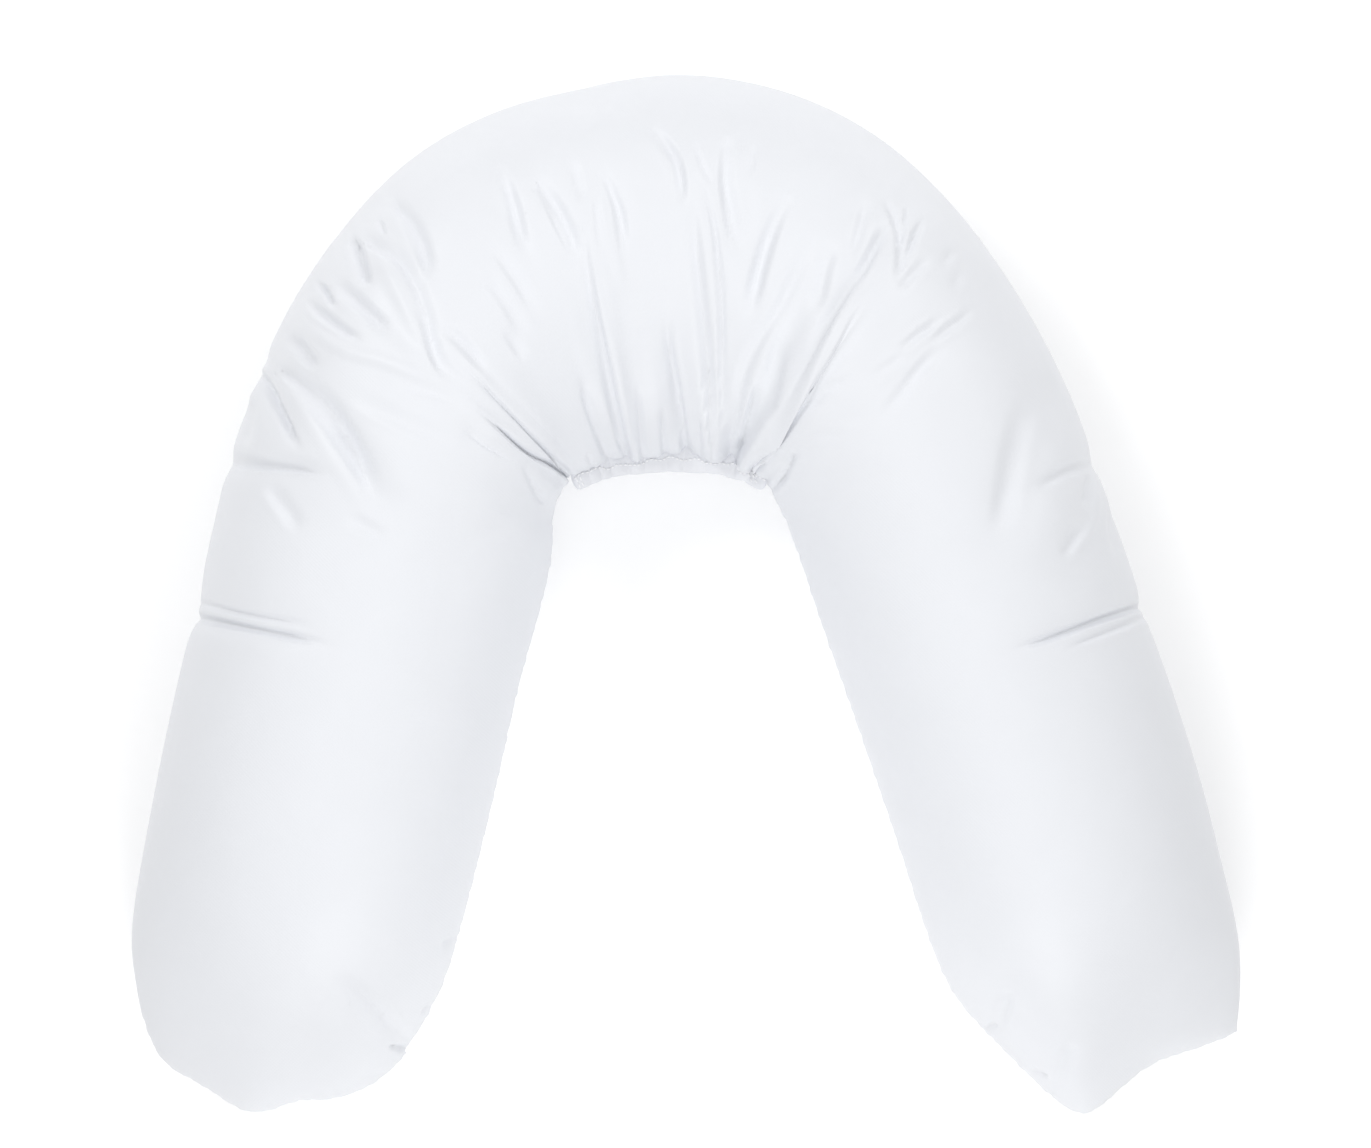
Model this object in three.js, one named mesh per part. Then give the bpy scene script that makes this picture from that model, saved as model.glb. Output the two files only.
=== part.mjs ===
// A U-shaped nursing pillow lying on its back: one long filled cotton tube, closed by a seam across
// each end, and drawn into a U by a gathered elastic casing sewn along the inner curve.
// Millimetres, +Z up, the floor at Z = 0, the open side of the U towards -Y.

import * as THREE from "three";
import { ParametricGeometry } from "three/addons/geometries/ParametricGeometry.js";
import { mergeVertices } from "three/addons/utils/BufferGeometryUtils.js";

// The tube
const FLAT_WIDTH = 374; // the empty tube pressed flat, from its seam to its fold
const FULLEST_HEIGHT = 215; // the filling lifts the tube no higher than this
const SEAM_LEVEL = 0.46; // share of the height at which the tube is widest
const FLOOR_SINK = 16; // how much of the round underside the floor presses flat
const FLOOR_SOFTENING = 7; // the rounded edge of that flat
const SECTION_ROUNDNESS = 0.93; // 1 is an ellipse, less is fuller

// The ends
const END_LENGTH = 150; // the tube narrows to its end seam over this length
const END_SEAM_HEIGHT = 74;
const END_BLUNTNESS = 2.3;
const END_SEAM_ANGLE = 0.64; // 0.5 is a round nose, 1 a wedge
const END_SEAM_HOLD = 0.12; // folds fade out over this share of it, towards the end seam

// The gathers beside the elastic
const GATHER_COUNT = 10;
const GATHER_DEPTH = 4;
const GATHER_REACH = 105; // how far the gathers run over the crown
const GATHER_UNEVENNESS = 0.4;
const ROOT_OVERRUN = 25; // a fold that starts at the seam runs this far down the wall beside it
const SEAM_HOLD = 24; // the sewn seam holds the cloth smooth over this distance
const SEAM_PULL = 0.12; // the share of a fold or gather that is left at the seam itself

// The elastic casing
const CASING_WIDTH = 11;
const CASING_THICKNESS = 4.6;
const CASING_RIPPLE = 1.3;
const CASING_CORNER = 0.62; // 1 is an ellipse, less is squarer
const CASING_BLUNT_END = 9; // its ends close over this length
const CASING_END_SHARE = 0.55; // the share of its width that an end keeps
const SEWN_GAP = 0.3;

// The mesh
const AROUND_STEPS = 46;
const CASING_AROUND_STEPS = 10;
const RING_BUNCHING = 1.8; // 1 is even
const SAMPLES_A_SECTION = 20; // for the length of the tube
const NEAR = 0.004; // a small step in section number or angle, for the surface's slope

// One row for each section, from the left end seam over the crown to the right end seam. A section
// runs from the outer edge to the inner one. rings is the number of mesh rings up to the next row,
// and they bunch towards this row (-1), the next one (1) or neither (0).
const SECTIONS = [
  { outerX: -427, outerY: -332, innerX: -221, innerY: -361, rings: 7, bunch: -1 },
  { outerX: -435, outerY: -269, innerX: -192, innerY: -309, rings: 2, bunch: 0 },
  { outerX: -428, outerY: -216, innerX: -178, innerY: -266, rings: 3, bunch: 0 },
  { outerX: -406, outerY: -99, innerX: -149, innerY: -151, rings: 5, bunch: 1 },
  { outerX: -388, outerY: -19, innerX: -131, innerY: -71, rings: 5, bunch: -1 },
  { outerX: -370, outerY: 63, innerX: -110, innerY: 6, rings: 5, bunch: 0 },
  { outerX: -360, outerY: 105, innerX: -105, innerY: 37, rings: 5, bunch: 0 },
  { outerX: -346, outerY: 149, innerX: -105, innerY: 55, rings: 4, bunch: 0 },
  { outerX: -329, outerY: 191, innerX: -103, innerY: 68, rings: 4, bunch: 0 },
  { outerX: -303, outerY: 239, innerX: -98, innerY: 79, rings: 4, bunch: 0 },
  { outerX: -267, outerY: 289, innerX: -87, innerY: 90, rings: 6, bunch: 0 },
  { outerX: -217, outerY: 340, innerX: -74, innerY: 96, rings: 6, bunch: 0 },
  { outerX: -155, outerY: 376, innerX: -58, innerY: 99, rings: 6, bunch: 0 },
  { outerX: -80, outerY: 398, innerX: -37, innerY: 101, rings: 6, bunch: 0 },
  { outerX: -2, outerY: 407, innerX: -12, innerY: 105, rings: 6, bunch: 0 },
  { outerX: 80, outerY: 392, innerX: 14, innerY: 104, rings: 6, bunch: 0 },
  { outerX: 148, outerY: 358, innerX: 37, innerY: 98, rings: 6, bunch: 0 },
  { outerX: 204, outerY: 307, innerX: 59, innerY: 90, rings: 5, bunch: 0 },
  { outerX: 243, outerY: 257, innerX: 69, innerY: 73, rings: 4, bunch: 0 },
  { outerX: 274, outerY: 207, innerX: 78, innerY: 55, rings: 5, bunch: 0 },
  { outerX: 300, outerY: 154, innerX: 83, innerY: 41, rings: 5, bunch: 0 },
  { outerX: 320, outerY: 101, innerX: 90, innerY: 22, rings: 5, bunch: 0 },
  { outerX: 337, outerY: 49, innerX: 103, innerY: -18, rings: 4, bunch: 1 },
  { outerX: 357, outerY: -10, innerX: 126, innerY: -83, rings: 5, bunch: -1 },
  { outerX: 399, outerY: -138, innerX: 168, innerY: -205, rings: 3, bunch: 0 },
  { outerX: 417, outerY: -208, innerX: 188, innerY: -267, rings: 3, bunch: 0 },
  { outerX: 432, outerY: -275, innerX: 208, innerY: -313, rings: 5, bunch: 1 },
  { outerX: 432, outerY: -345, innerX: 238, innerY: -347, rings: 0, bunch: 0 },
];
const LAST_SECTION = SECTIONS.length - 1;
const CASING_FROM = 9.4; // section numbers, counted along the rows above
const CASING_TO = 17.6;

// How far each end seam bows out past the straight line between its two corners, at a share of the
// way from the outer corner to the inner one. The longest row is the soft ear of the end.
const LEFT_END = [
  { across: 0, reach: 0 },
  { across: 0.1, reach: 33 },
  { across: 0.28, reach: 50 },
  { across: 0.46, reach: 65 },
  { across: 0.62, reach: 51 },
  { across: 0.76, reach: 44 },
  { across: 0.9, reach: 27 },
  { across: 1, reach: 0 },
];
const RIGHT_END = [
  { across: 0, reach: 0 },
  { across: 0.15, reach: 12 },
  { across: 0.35, reach: 26 },
  { across: 0.5, reach: 48 },
  { across: 0.62, reach: 66 },
  { across: 0.74, reach: 52 },
  { across: 0.88, reach: 25 },
  { across: 1, reach: 0 },
];

// One row for each fold that shows from a step away, in plan. depth is how far it pulls the cloth in,
// and a minus is a raised ridge. bow is how far its middle lies to the right of a straight run. halfWidths
// are at its from and to ends. sharp is 1 for a creased bottom and 0 for a round one. A rooted fold runs
// full into the seam or over the edge at its from end, and the others fade out at both ends.
const FOLDS = [
  // the long tucks at the two ends of the elastic
  { from: [-87, 87], to: [-194, 197], bow: 0, depth: 14, halfWidths: [10, 15], sharp: 0.7, rooted: true },
  { from: [-90, 80], to: [-176, 146], bow: 0, depth: 10, halfWidths: [8, 12], sharp: 0.7, rooted: true },
  { from: [50, 88], to: [146, 242], bow: 0, depth: 14, halfWidths: [9, 14], sharp: 0.7, rooted: true },
  { from: [42, 96], to: [168, 292], bow: 3, depth: -8, halfWidths: [8, 12], sharp: 0, rooted: true },
  // the crown, from the left tuck to the right one
  { from: [-180, 154], to: [-250, 276], bow: -7, depth: 11, halfWidths: [12, 15], sharp: 0.5, rooted: false },
  { from: [-200, 246], to: [-232, 306], bow: -3, depth: 8, halfWidths: [12, 12], sharp: 0.3, rooted: false },
  { from: [-124, 254], to: [-145, 336], bow: -2, depth: 8, halfWidths: [12, 12], sharp: 0.3, rooted: false },
  { from: [-80, 238], to: [-119, 326], bow: -2, depth: 9, halfWidths: [12, 12], sharp: 0.3, rooted: false },
  { from: [-57, 100], to: [-88, 182], bow: 2, depth: 7, halfWidths: [6, 10], sharp: 0.6, rooted: true },
  { from: [-46, 106], to: [-84, 290], bow: -3, depth: 6, halfWidths: [6, 11], sharp: 0.3, rooted: true },
  { from: [-40, 108], to: [-76, 296], bow: -3, depth: -7, halfWidths: [6, 10], sharp: 0, rooted: true },
  { from: [-44, 258], to: [-69, 342], bow: -3, depth: 7, halfWidths: [11, 11], sharp: 0.3, rooted: false },
  { from: [0, 105], to: [-17, 226], bow: -4, depth: 8, halfWidths: [6, 10], sharp: 0.6, rooted: true },
  { from: [22, 106], to: [5, 324], bow: -6, depth: -9, halfWidths: [10, 14], sharp: 0, rooted: true },
  { from: [35, 104], to: [7, 336], bow: -12, depth: 7, halfWidths: [11, 14], sharp: 0, rooted: true },
  { from: [2, 290], to: [-33, 372], bow: -5, depth: 7, halfWidths: [10, 10], sharp: 0.3, rooted: false },
  { from: [42, 246], to: [33, 356], bow: 5, depth: 8, halfWidths: [11, 10], sharp: 0.3, rooted: false },
  { from: [45, 202], to: [80, 316], bow: -3, depth: 8, halfWidths: [12, 13], sharp: 0.2, rooted: false },
  { from: [40, 112], to: [102, 290], bow: 4, depth: 6, halfWidths: [9, 14], sharp: 0, rooted: true },
  { from: [106, 196], to: [161, 298], bow: 0, depth: 8, halfWidths: [11, 11], sharp: 0.3, rooted: false },
  { from: [173, 246], to: [150, 322], bow: -3, depth: 7, halfWidths: [11, 11], sharp: 0.3, rooted: false },
  // the left shoulder
  { from: [-342, 188], to: [-290, 94], bow: 0, depth: 6, halfWidths: [13, 13], sharp: 0.4, rooted: true },
  { from: [-232, 48], to: [-324, 180], bow: 10, depth: 11, halfWidths: [17, 17], sharp: 0.3, rooted: false },
  { from: [-222, 192], to: [-278, 244], bow: 0, depth: 5, halfWidths: [14, 14], sharp: 0, rooted: false },
  { from: [-362, 101], to: [-266, 90], bow: 0, depth: 5, halfWidths: [12, 12], sharp: 0.5, rooted: true },
  // the right shoulder
  { from: [234, 12], to: [276, 184], bow: 6, depth: 9, halfWidths: [23, 25], sharp: 0, rooted: false },
  { from: [324, 102], to: [262, 72], bow: 3, depth: 4, halfWidths: [14, 14], sharp: 0, rooted: true },
  { from: [292, -4], to: [314, 92], bow: 4, depth: 5, halfWidths: [20, 20], sharp: 0, rooted: false },
  { from: [140, 124], to: [208, 208], bow: 0, depth: 4, halfWidths: [16, 16], sharp: 0, rooted: false },
  // the packing creases across the legs
  { from: [-392, -18], to: [-258, -45], bow: 0, depth: 6, halfWidths: [10, 10], sharp: 0.6, rooted: true },
  { from: [-394, -2], to: [-272, -26], bow: 0, depth: 3, halfWidths: [9, 9], sharp: 0, rooted: true },
  { from: [362, -9], to: [236, -50], bow: 0, depth: 6, halfWidths: [10, 10], sharp: 0.6, rooted: true },
  { from: [366, -26], to: [272, -56], bow: 0, depth: 3, halfWidths: [9, 9], sharp: 0, rooted: true },
  // the puckers of the end seams
  { from: [-222, -352], to: [-280, -292], bow: 0, depth: 8, halfWidths: [13, 15], sharp: 0.2, rooted: true },
  { from: [243, -346], to: [258, -300], bow: 0, depth: 8, halfWidths: [11, 13], sharp: 0.3, rooted: true },
  { from: [288, -398], to: [306, -330], bow: 0, depth: 5, halfWidths: [14, 15], sharp: 0, rooted: true },
];

const smooth = (value, low, high) => THREE.MathUtils.smoothstep(value, low, high);
const signedPower = (value, power) => Math.sign(value) * Math.abs(value) ** power;

const edgeCurve = (edge) =>
  new THREE.CatmullRomCurve3(
    SECTIONS.map((row) => new THREE.Vector3(row[`${edge}X`], row[`${edge}Y`], 0)),
    false,
    "centripetal",
  );
const outerEdge = edgeCurve("outer");
const innerEdge = edgeCurve("inner");

const END_CURVES = { left: endCurve(LEFT_END), right: endCurve(RIGHT_END) };

function endCurve(rows) {
  return new THREE.SplineCurve(rows.map((row) => new THREE.Vector2(row.across, row.reach)));
}

// How far an end seam bows out, at a share of the way across it. Halving finds the place on its curve.
function endReach(side, across) {
  const curve = END_CURVES[side];
  let low = 0;
  let high = 1;
  for (let halving = 0; halving < 24; halving++) {
    const middle = (low + high) / 2;
    if (curve.getPoint(middle).x < across) low = middle;
    else high = middle;
  }
  return Math.max(0, curve.getPoint(low).y);
}

function edgePoint(curve, section) {
  return curve.getPoint(THREE.MathUtils.clamp(section / LAST_SECTION, 0, 1));
}

function middlePoint(section) {
  return edgePoint(outerEdge, section).lerp(edgePoint(innerEdge, section), 0.5);
}

// The length of the tube's middle line from the left end seam, at even steps of the section number.
const middleLengths = [0];
for (let sample = 1; sample <= LAST_SECTION * SAMPLES_A_SECTION; sample++) {
  const before = middlePoint((sample - 1) / SAMPLES_A_SECTION);
  const stretch = before.distanceTo(middlePoint(sample / SAMPLES_A_SECTION));
  middleLengths.push(middleLengths[sample - 1] + stretch);
}

function middleLengthAt(section) {
  const place = THREE.MathUtils.clamp(section, 0, LAST_SECTION) * SAMPLES_A_SECTION;
  const before = Math.min(Math.floor(place), middleLengths.length - 2);
  return THREE.MathUtils.lerp(middleLengths[before], middleLengths[before + 1], place - before);
}

// Where a section lies in relation to the nearer end seam: side, and 0 at the seam to 1 in the body.
function nearerEnd(section) {
  const fromLeft = middleLengthAt(section);
  const fromRight = middleLengths[middleLengths.length - 1] - fromLeft;
  const side = fromLeft < fromRight ? "left" : "right";
  return { side, inwards: Math.min(1, Math.min(fromLeft, fromRight) / END_LENGTH) };
}

// The soft tube before its folds: a point at a section number and an angle round the tube, which is
// 0 at the outer edge, a quarter turn on top and a half turn at the inner edge.
function smoothPoint(section, angle) {
  const outer = edgePoint(outerEdge, section);
  const inner = edgePoint(innerEdge, section);
  const width = outer.distanceTo(inner);
  const { side, inwards } = nearerEnd(section);
  const fullness = (1 - (1 - inwards) ** END_BLUNTNESS) ** END_SEAM_ANGLE;

  // The cloth's girth is the same all along, so a wide section is a low one.
  const height = Math.min((4 * FLAT_WIDTH) / Math.PI - width, FULLEST_HEIGHT);
  const seamHeight = THREE.MathUtils.lerp(END_SEAM_HEIGHT, height * SEAM_LEVEL, fullness);
  const above = height * (1 - SEAM_LEVEL) * fullness;
  const below = (height * SEAM_LEVEL + FLOOR_SINK) * fullness;

  const across = (1 - signedPower(Math.cos(angle), SECTION_ROUNDNESS)) / 2;
  const lift = signedPower(Math.sin(angle), SECTION_ROUNDNESS);
  const point = outer.clone().lerp(inner, across);
  const bow = endReach(side, across) * (1 - inwards) ** 2;
  const line = inner.clone().sub(outer).normalize();
  const outwards = new THREE.Vector3(line.y, -line.x, 0).multiplyScalar(line.x > 0 ? 1 : -1);
  point.addScaledVector(outwards, bow);
  point.z = restingHeight(seamHeight + lift * (lift > 0 ? above : below));
  return point;
}

// The floor holds up whatever would sink below it, with a rounded edge to the flat.
function restingHeight(z) {
  if (z > FLOOR_SOFTENING) return z;
  return z < -FLOOR_SOFTENING ? 0 : (z + FLOOR_SOFTENING) ** 2 / (4 * FLOOR_SOFTENING);
}

// How far one fold pulls in the cloth at a place in plan.
function foldPull({ from, to, bow, depth, halfWidths, sharp, rooted }, x, y) {
  const run = [to[0] - from[0], to[1] - from[1]];
  const offset = [x - from[0], y - from[1]];
  const length = Math.hypot(...run);
  const along = (offset[0] * run[0] + offset[1] * run[1]) / length ** 2;
  const place = THREE.MathUtils.clamp(along, 0, 1);
  const left = (offset[1] * run[0] - offset[0] * run[1]) / length;
  const halfWidth = THREE.MathUtils.lerp(...halfWidths, place);
  const away = Math.abs(left + bow * 4 * place * (1 - place)) / halfWidth;
  if (away > 1 || along > 1) return 0;
  const freeEnd = 1 - smooth(along, 0.5, 1);
  const rootEnd = smooth(along * length, -ROOT_OVERRUN, -ROOT_OVERRUN / 2);
  const ends = freeEnd * (rooted ? rootEnd : smooth(along, 0, 0.4));
  return depth * ends * THREE.MathUtils.lerp((1 - away ** 2) ** 2, (1 - away) ** 2, sharp);
}

// How far the elastic's gathers pull in the cloth, at a distance from the inner seam.
function gatherPull(section, fromSeam) {
  const along = alongCasing(section);
  if (along <= 0 || along >= 1) return 0;
  const atEnds = smooth(along, 0, 0.05) * smooth(1 - along, 0, 0.05);
  return GATHER_DEPTH * (1 - smooth(fromSeam, 0, GATHER_REACH)) * atEnds * gatherWave(along);
}

// 0 at the casing's left end and 1 at its right end.
function alongCasing(section) {
  return (section - CASING_FROM) / (CASING_TO - CASING_FROM);
}

// 0 on a gather's ridge and 1 in its valley, with uneven spacing.
function gatherWave(along) {
  const turns = GATHER_COUNT * along + GATHER_UNEVENNESS * Math.sin(5.1 * along + 0.7) * Math.sin(17 * along);
  return 0.5 - 0.5 * Math.cos(2 * Math.PI * turns);
}

// The finished surface: the soft tube pulled in along its own normal by its folds and gathers.
function pillowPoint(section, angle) {
  const point = smoothPoint(section, angle);
  const { inwards } = nearerEnd(section);
  if (inwards === 0) return point;
  const step = Math.min(NEAR, section, LAST_SECTION - section);
  const alongStep = smoothPoint(section + step, angle).sub(smoothPoint(section - step, angle));
  const roundStep = smoothPoint(section, angle + NEAR).sub(smoothPoint(section, angle - NEAR));
  const normal = roundStep.cross(alongStep).normalize();

  const fromSeam = point.distanceTo(smoothPoint(section, Math.PI));
  const freeOfSeam = THREE.MathUtils.lerp(SEAM_PULL, 1, smooth(fromSeam, 0, SEAM_HOLD));
  const freeOfEnd = smooth(inwards, 0, END_SEAM_HOLD);
  const freeOfFloor = angle > 0 ? 1 : smooth(point.z, FLOOR_SOFTENING, 6 * FLOOR_SOFTENING);
  let pull = gatherPull(section, fromSeam);
  for (const fold of FOLDS) pull += foldPull(fold, point.x, point.y);
  point.addScaledVector(normal, -pull * freeOfSeam * freeOfEnd * freeOfFloor);
  point.z = Math.max(point.z, 0);
  return point;
}

// The section numbers of the mesh rings, bunched as the rows ask.
function ringSections() {
  const sections = [];
  SECTIONS.forEach((row, index) => {
    for (let ring = 0; ring < row.rings; ring++) {
      const even = ring / row.rings;
      if (row.bunch < 0) sections.push(index + even ** RING_BUNCHING);
      else if (row.bunch > 0) sections.push(index + 1 - (1 - even) ** RING_BUNCHING);
      else sections.push(index + even);
    }
  });
  return [...sections, LAST_SECTION];
}

// A closed skin over rings of points, each ring with its own number of steps round, welded where the
// rings close and where the two ends are pressed shut.
function weldedSkin(pointAt, ringCount, steps) {
  const skin = new ParametricGeometry(
    (round, along, target) => {
      const ring = Math.round(along * (ringCount - 1));
      const step = Math.round(round * steps) % steps;
      target.copy(pointAt(ring, stepAngle(step, steps)));
    },
    steps,
    ringCount - 1,
  );
  skin.deleteAttribute("normal");
  skin.deleteAttribute("uv");
  return mergeVertices(skin, 1e-3);
}

// The angle of a step round a tube, from 0 over the top to a half turn and back underneath. The lower
// half mirrors the upper one exactly, so that both meet in one line where the tube is pressed shut.
function stepAngle(step, steps) {
  return ((step <= steps / 2 ? step : step - steps) * 2 * Math.PI) / steps;
}

const ringSectionNumbers = ringSections();

function pillow() {
  const pointAt = (ring, angle) => pillowPoint(ringSectionNumbers[ring], angle);
  const skin = weldedSkin(pointAt, ringSectionNumbers.length, AROUND_STEPS);
  const cotton = new THREE.MeshStandardMaterial({ color: 0xf3f4f9, roughness: 0.82, metalness: 0 });
  const mesh = new THREE.Mesh(skin, cotton);
  mesh.name = "pillow";
  return mesh;
}

// The gathered strip that holds the elastic, sewn on along the inner seam. It has a section at each
// ring of the pillow beside it, so that the facets of both run along each other.
function elasticCasing() {
  const sections = ringSectionNumbers.filter((number) => number >= CASING_FROM && number <= CASING_TO);
  const seamLine = sections.map((number) => pillowPoint(number, Math.PI));
  const reached = [0];
  for (let i = 1; i < seamLine.length; i++) {
    reached.push(reached[i - 1] + seamLine[i].distanceTo(seamLine[i - 1]));
  }
  const length = reached[reached.length - 1];

  const pointAt = (ring, angle) => {
    const section = sections[ring];
    const outOfPillow = edgePoint(innerEdge, section).sub(edgePoint(outerEdge, section)).normalize();
    const ripple = CASING_RIPPLE * (gatherWave(alongCasing(section)) - 1);
    const toEnd = Math.min(reached[ring], length - reached[ring]);
    const closing = Math.sqrt(Math.min(1, toEnd / CASING_BLUNT_END));
    const width = (CASING_WIDTH + ripple) * THREE.MathUtils.lerp(CASING_END_SHARE, 1, closing);
    const across = (1 - signedPower(Math.cos(angle), CASING_CORNER)) / 2;
    const lift = (signedPower(Math.sin(angle), CASING_CORNER) * CASING_THICKNESS) / 2;
    const point = seamLine[ring].clone().addScaledVector(outOfPillow, SEWN_GAP + width * across);
    point.z += (lift + ripple) * closing;
    return point;
  };
  const skin = weldedSkin(pointAt, sections.length, CASING_AROUND_STEPS);
  const cotton = new THREE.MeshStandardMaterial({ color: 0xeceef4, roughness: 0.88, metalness: 0 });
  const mesh = new THREE.Mesh(skin, cotton);
  mesh.name = "elastic_casing";
  return mesh;
}

// The origin is on the floor, below the middle of the pillow's length and width.
const nursingPillow = new THREE.Group();
nursingPillow.add(pillow(), elasticCasing());
const middle = new THREE.Box3().setFromObject(nursingPillow).getCenter(new THREE.Vector3());
nursingPillow.position.set(-middle.x, -middle.y, 0);

export default nursingPillow;
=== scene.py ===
# %% [markdown]
# # A u-shaped nursing pillow
# The pillow is one long cotton tube, filled and drawn into a U by an elastic that
# runs in a gathered casing along its inner curve. The solids come from the packed
# model. This lesson dresses them: cloth, folds, seams, light and a camera.

# %% Load the solids
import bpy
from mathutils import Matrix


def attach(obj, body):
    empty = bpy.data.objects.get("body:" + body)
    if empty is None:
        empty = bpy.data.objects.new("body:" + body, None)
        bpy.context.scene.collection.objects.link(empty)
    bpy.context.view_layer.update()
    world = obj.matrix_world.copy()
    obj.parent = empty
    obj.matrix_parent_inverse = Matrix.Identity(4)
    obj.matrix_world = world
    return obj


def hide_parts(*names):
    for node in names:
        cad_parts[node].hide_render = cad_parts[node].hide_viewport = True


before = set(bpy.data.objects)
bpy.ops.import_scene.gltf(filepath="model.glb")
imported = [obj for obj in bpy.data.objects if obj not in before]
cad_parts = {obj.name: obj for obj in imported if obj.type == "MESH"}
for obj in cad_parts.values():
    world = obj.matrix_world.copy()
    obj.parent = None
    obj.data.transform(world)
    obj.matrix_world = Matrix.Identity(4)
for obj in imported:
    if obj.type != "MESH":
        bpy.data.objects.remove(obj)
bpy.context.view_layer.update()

# %% [markdown]
# ## Tools of the trade
# bpy holds the scene, bmesh shapes meshes, and numpy moves thousands of points at
# once, which a loop over the points would do far more slowly. A seeded random
# source makes the same pillow on every run.

# %% Imports and small helpers
import math
from collections import namedtuple

import bmesh
import bpy
import numpy as np
from mathutils import Matrix, Vector
from mathutils.bvhtree import BVHTree
from mathutils.kdtree import KDTree

scene = bpy.context.scene
MM = 0.001


def link(piece):
    """Puts a new object into the scene."""
    scene.collection.objects.link(piece)
    return piece


def points_of(mesh):
    """The places of a mesh's points, one row for each."""
    flat = np.empty(len(mesh.vertices) * 3)
    mesh.vertices.foreach_get("co", flat)
    return flat.reshape(-1, 3)


def normals_of(mesh):
    """The directions that a mesh's points face, one row for each."""
    flat = np.empty(len(mesh.vertices) * 3)
    mesh.vertex_normals.foreach_get("vector", flat)
    return flat.reshape(-1, 3)


def put_points(mesh, places):
    """Moves a mesh's points to new places."""
    mesh.vertices.foreach_set("co", np.ascontiguousarray(places).ravel())
    mesh.update()


def ease(value, start, end):
    """A soft step from 0 at start to 1 at end."""
    t = np.clip((value - start) / (end - start), 0, 1)
    return t * t * (3 - 2 * t)


def keep_modifiers(piece):
    """Makes what the modifiers show into the piece's own mesh."""
    seen = piece.evaluated_get(bpy.context.evaluated_depsgraph_get())
    made = bpy.data.meshes.new_from_object(seen)
    piece.modifiers.clear()
    old = piece.data
    piece.data = made
    bpy.data.meshes.remove(old)
    return piece


# %% [markdown]
# ## The camera
# The picture looks straight down, so the camera hangs above the pillow. A long
# lens from far away keeps the tall legs from leaning outwards. One pixel of the
# picture is 0.78 mm at the level of the seams, which sets the lens. Even from four
# metres away, a point high on a leg is seen a few millimetres further out than its
# place in plan. An orthographic camera would have no such lean, but a real lens
# has it, so two helpers slide places along the camera's rays instead.

# %% Camera
PICTURE_WIDE, PICTURE_TALL = 1371, 1148
PIXEL = 0.78 * MM
SEAM_LEVEL = 0.095
DRAWN_X, DRAWN_Y = 687.0, 593.0  # the pixel above the zero that the solids were drawn from
SHIFT_X, SHIFT_Y = 0.94 * MM, 2.52 * MM  # how far that zero lies from the middle of the solids
CENTRE_X, CENTRE_Y = DRAWN_X - SHIFT_X / PIXEL, DRAWN_Y + SHIFT_Y / PIXEL
CAMERA_ABOVE = 4.0

lens = bpy.data.cameras.new("camera")
lens.sensor_width = 36
lens.lens = lens.sensor_width * CAMERA_ABOVE / (PICTURE_WIDE * PIXEL)
camera = link(bpy.data.objects.new("camera", lens))


def spot(px, py):
    """The place in metres below a pixel of the picture, at the seams' level."""
    return (px - CENTRE_X) * PIXEL, (CENTRE_Y - py) * PIXEL


camera_x, camera_y = spot(PICTURE_WIDE / 2, PICTURE_TALL / 2)
picture_middle = np.array([camera_x, camera_y])


def as_seen(places):
    """Where the camera sees each place: x and y, slid along its ray to the seams' level."""
    larger = CAMERA_ABOVE / (CAMERA_ABOVE + SEAM_LEVEL - places[:, 2])
    return picture_middle + (places[:, :2] - picture_middle) * larger[:, None]


def below_camera(places):
    """Slides what is above the seams' level inwards, so that it is seen where its plan was."""
    rise = np.maximum(places[:, 2] - SEAM_LEVEL, 0)
    smaller = 1 - rise / CAMERA_ABOVE
    places[:, :2] = picture_middle + (places[:, :2] - picture_middle) * smaller[:, None]
    return places


camera.location = (camera_x, camera_y, SEAM_LEVEL + CAMERA_ABOVE)
scene.camera = camera
print("lens", round(lens.lens, 1), "mm, camera at", [round(x, 4) for x in camera.location])

# %% [markdown]
# ## Light and floor
# White cotton on white needs little contrast: a bright, even sky gives most of the
# light. One hard lamp would draw deep black folds, so the lamps are broad discs
# behind the crown and before the ends. They brighten what faces up and leave the
# outer flanks of the legs a little grey. Behind the crown, the left one is the
# stronger, so each fold has a bright side and a grey side.

# %% Light
scene.view_settings.view_transform = "Standard"
SKY = 0.59
sky = bpy.data.worlds.new("studio")
scene.world = sky
sky.use_nodes = True
sky.node_tree.nodes["Background"].inputs["Color"].default_value = (1.0, 1.0, 1.0, 1)
sky.node_tree.nodes["Background"].inputs["Strength"].default_value = SKY

LAMP_AIM = Vector((0, 0, 0.1))
LAMPS = [  # name, place in metres, width in metres, watts
    ("behind_left", (-0.98, 1.08, 1.45), 0.8, 8.8),
    ("behind_right", (0.95, 1.30, 1.3), 0.8, 7.5),
    ("before_ends", (0.10, -1.60, 1.4), 0.9, 12.5),
    ("overhead", (-0.15, 0.0, 2.0), 0.8, 3.0),
]
for name, place, wide, watts in LAMPS:
    lamp = bpy.data.lights.new(name, "AREA")
    lamp.shape = "DISK"
    lamp.size = wide
    lamp.energy = watts
    holder = link(bpy.data.objects.new(name, lamp))
    holder.location = place
    aim = LAMP_AIM - holder.location
    holder.rotation_euler = aim.to_track_quat("-Z", "Y").to_euler()
    print(name, "hangs", round(aim.length, 2), "m from the pillow")

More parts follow.
